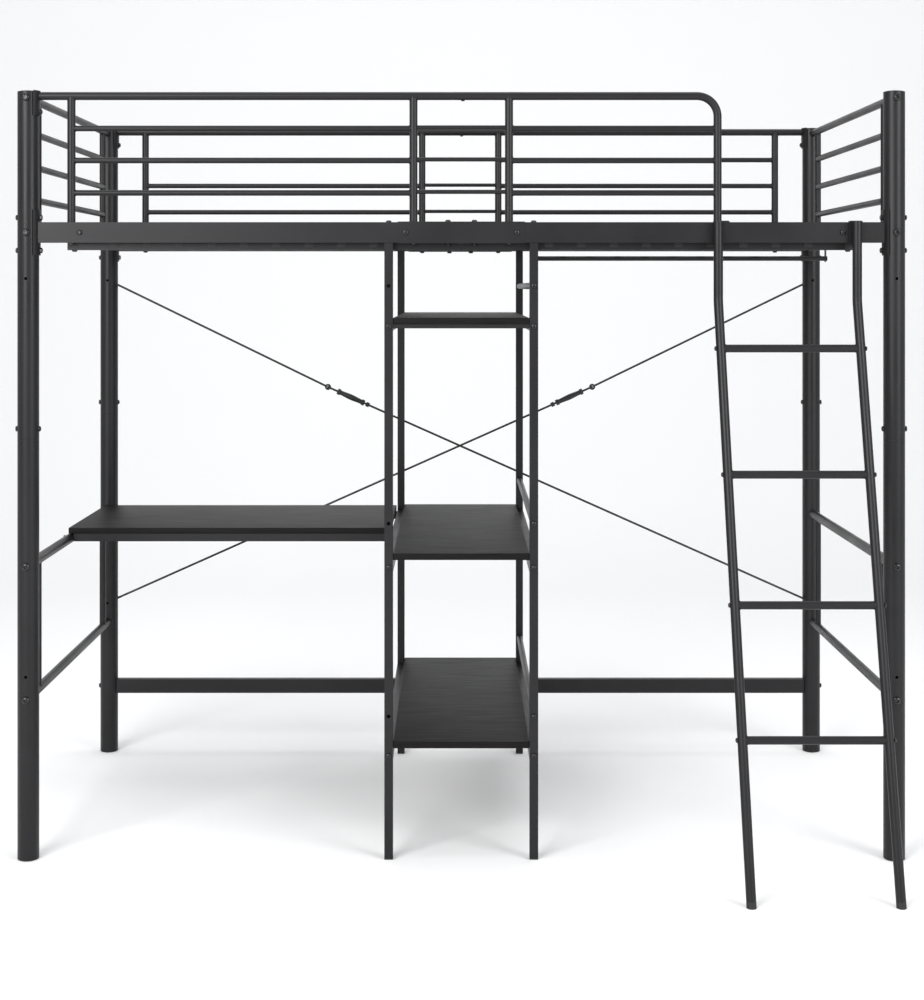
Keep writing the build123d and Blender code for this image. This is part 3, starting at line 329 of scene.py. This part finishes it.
# post feet: a plug with a flush flange and a rounded sole
foot_profile = ([(0.2 * MM, 0), (22.4 * MM, 0)] + arc(22.4 * MM, 2.6 * MM, 2.6 * MM, -90, 0, 8)
                + [(25 * MM, 3.3 * MM), (24.9 * MM, 3.4 * MM), (23.25 * MM, 3.4 * MM),
                   (23.25 * MM, 23.2 * MM), (22.4 * MM, 24 * MM), (0.2 * MM, 24 * MM)])
surface("post_foot_plugs", *join([lathe(foot_profile, (x, y, 0)) for x, y in POSTS]),
        "black_plastic", "bed", ["post_feet"])

# turnbuckle bodies: a waisted barrel with six flats on the collar at its eye end
for side in ("left", "right"):
    s = -1 if side == "left" else 1
    y = REAR_Y + s * BRACE_SPREAD
    eye = np.array((s * EYE_X, y, EYE_Z))
    run = np.array((-s * BRACE_FOOT_X, y, BRACE_FOOT_Z)) - eye
    run /= np.linalg.norm(run)
    start = eye + run * EYE_TO_BODY
    t = np.linspace(0, 1, 25)
    radius = (6.6 + 1.6 * np.sin(np.pi * t) ** 2) * MM
    waist = [(float(r), float(9.6 * MM + q * (BODY_LEN - 19.2 * MM))) for r, q in zip(radius, t)]
    prof = ([(BODY_BORE, 0), (COLLAR_EDGE_R, 0), (COLLAR_R, 0.8 * MM), (COLLAR_R, 9 * MM)] + waist
            + [(COLLAR_R, BODY_LEN - 9 * MM), (COLLAR_R, BODY_LEN - 0.8 * MM),
               (COLLAR_EDGE_R, BODY_LEN), (BODY_BORE, BODY_LEN), (BODY_BORE, 0)])
    surface("turnbuckle_body_" + side, *lathe(prof, start, run, 48, 6, 0.035, (0, 9.1 * MM)),
            "brace_steel", "turnbuckle_" + side, ["turnbuckle_" + side])

# weld beads of the end frames and guards
beads = []
for s in (-1, 1):
    x = s * POST_X
    for y, inward in zip(END_YS, (Y, neg(Y))):
        for z in END_BAR_ZS:
            beads.append(bead((x, y, z), inward, Z, END_BAR_R, END_UPRIGHT_R))
        for z, along, host_r in ((END_TOP_Z, neg(Z), END_TOP_R), (BED_Z, Z, LOW_RAIL_R),
                                 (SIDE_RAIL_Z, neg(Z), SIDE_RAIL_R), (LOW_RAIL_Z, Z, LOW_RAIL_R)):
            beads.append(bead((x, y, z), along, Y, END_UPRIGHT_R, host_r))
for y, outer, inner, end, drop in GUARDS:
    for x, inward in ((-outer, X), (-inner, neg(X)), (inner, X), (end, neg(X))):
        for z in GUARD_BAR_ZS:
            beads.append(bead((x, y, z - drop), inward, Z, GUARD_BAR_R, GUARD_R))
        if x != BENT_END_X:
            beads.append(bead((x, y, GUARD_TOP_Z), neg(Z), X, 9.3 * MM, GUARD_R))
surface("weld_beads_bed", *join(beads), "powder_coat", "bed")

# weld beads of the rungs, which follow the slant of the stiles
foot = np.array((FOOT_DRIFT, FRONT_Y - 0.316, 0.006))
knee = np.array((0.0, FRONT_Y - 0.02715, 1.307))
slope = (knee - foot) / np.linalg.norm(knee - foot)
beads = []
for z in RUNG_ZS:
    middle = foot + slope * (z - foot[2]) / slope[2]
    for x, inward in zip(STILE_XS, (X, neg(X))):
        beads.append(bead(middle + (x, 0, 0), inward, slope, RUNG_R, STILE_R))
surface("weld_beads_ladder", *join(beads), "powder_coat", "ladder")


# ---- floor, light and camera


def sweep(name, depth, wide, curve_r, high):
    """Floor and backdrop in one: flat, then a quarter circle, then upright."""
    profile = [(-9.0, -0.0005), (depth, -0.0005)]
    profile += [(depth + curve_r * math.sin(t), curve_r * (1 - math.cos(t)))
                for t in np.linspace(0.05, math.pi / 2, 24)]
    profile.append((depth + curve_r, high))
    pts = [(x, y, z) for y, z in profile for x in (-wide, wide)]
    faces = [(2 * i, 2 * i + 1, 2 * i + 3, 2 * i + 2) for i in range(len(profile) - 1)]
    mesh = bpy.data.meshes.new(name)
    mesh.from_pydata(pts, [], faces)
    mesh.polygons.foreach_set("use_smooth", [True] * len(mesh.polygons))
    floor = bpy.data.objects.new(name, mesh)
    bpy.context.scene.collection.objects.link(floor)
    mat, tree, shader = finish("pale_studio_floor", "#f4f4f4", 0.85, specular=0.1)
    mesh.materials.append(mat)
    return floor


sweep("studio_sweep", 3.2, 12.0, 3.0, 9.0)


def lamp(name, place, target, size, power, tint="#ffffff"):
    """Soft rectangular studio light aimed at a point."""
    data = bpy.data.lights.new(name, "AREA")
    data.shape, data.size, data.size_y = "RECTANGLE", size[0], size[1]
    data.energy, data.color = power, srgb(tint)[:3]
    light = bpy.data.objects.new(name, data)
    bpy.context.scene.collection.objects.link(light)
    light.location = place
    aim = np.array(target, float) - np.array(place, float)
    light.rotation_euler = Vector(aim).to_track_quat("-Z", "Y").to_euler()


lamp("key", (-2.6, -4.4, 2.8), (0, -0.3, 0.9), (2.8, 3.0), 230)
lamp("fill", (3.6, -3.6, 2.4), (0.2, 0.1, 0.9), (2.0, 2.8), 130)
lamp("top", (0.0, 0.4, 4.8), (0, 0.2, 0), (4.0, 3.0), 70)

world = bpy.data.worlds.new("soft_studio")
bpy.context.scene.world = world
world.use_nodes = True
world.node_tree.nodes["Background"].inputs["Color"].default_value = srgb("#f6f7f9")
world.node_tree.nodes["Background"].inputs["Strength"].default_value = 0.75
bpy.context.scene.view_settings.view_transform = "Standard"

lens = bpy.data.cameras.new("camera")
lens.lens = 60.8
lens.sensor_width = 36.0
lens.shift_x, lens.shift_y = 0.0063, -0.212
lens.clip_end = 60
camera = bpy.data.objects.new("camera", lens)
camera.location = (-0.013, FRONT_Y - 3.96, 1.337)
camera.rotation_euler = (math.pi / 2, 0, 0)
bpy.context.scene.collection.objects.link(camera)
bpy.context.scene.camera = camera
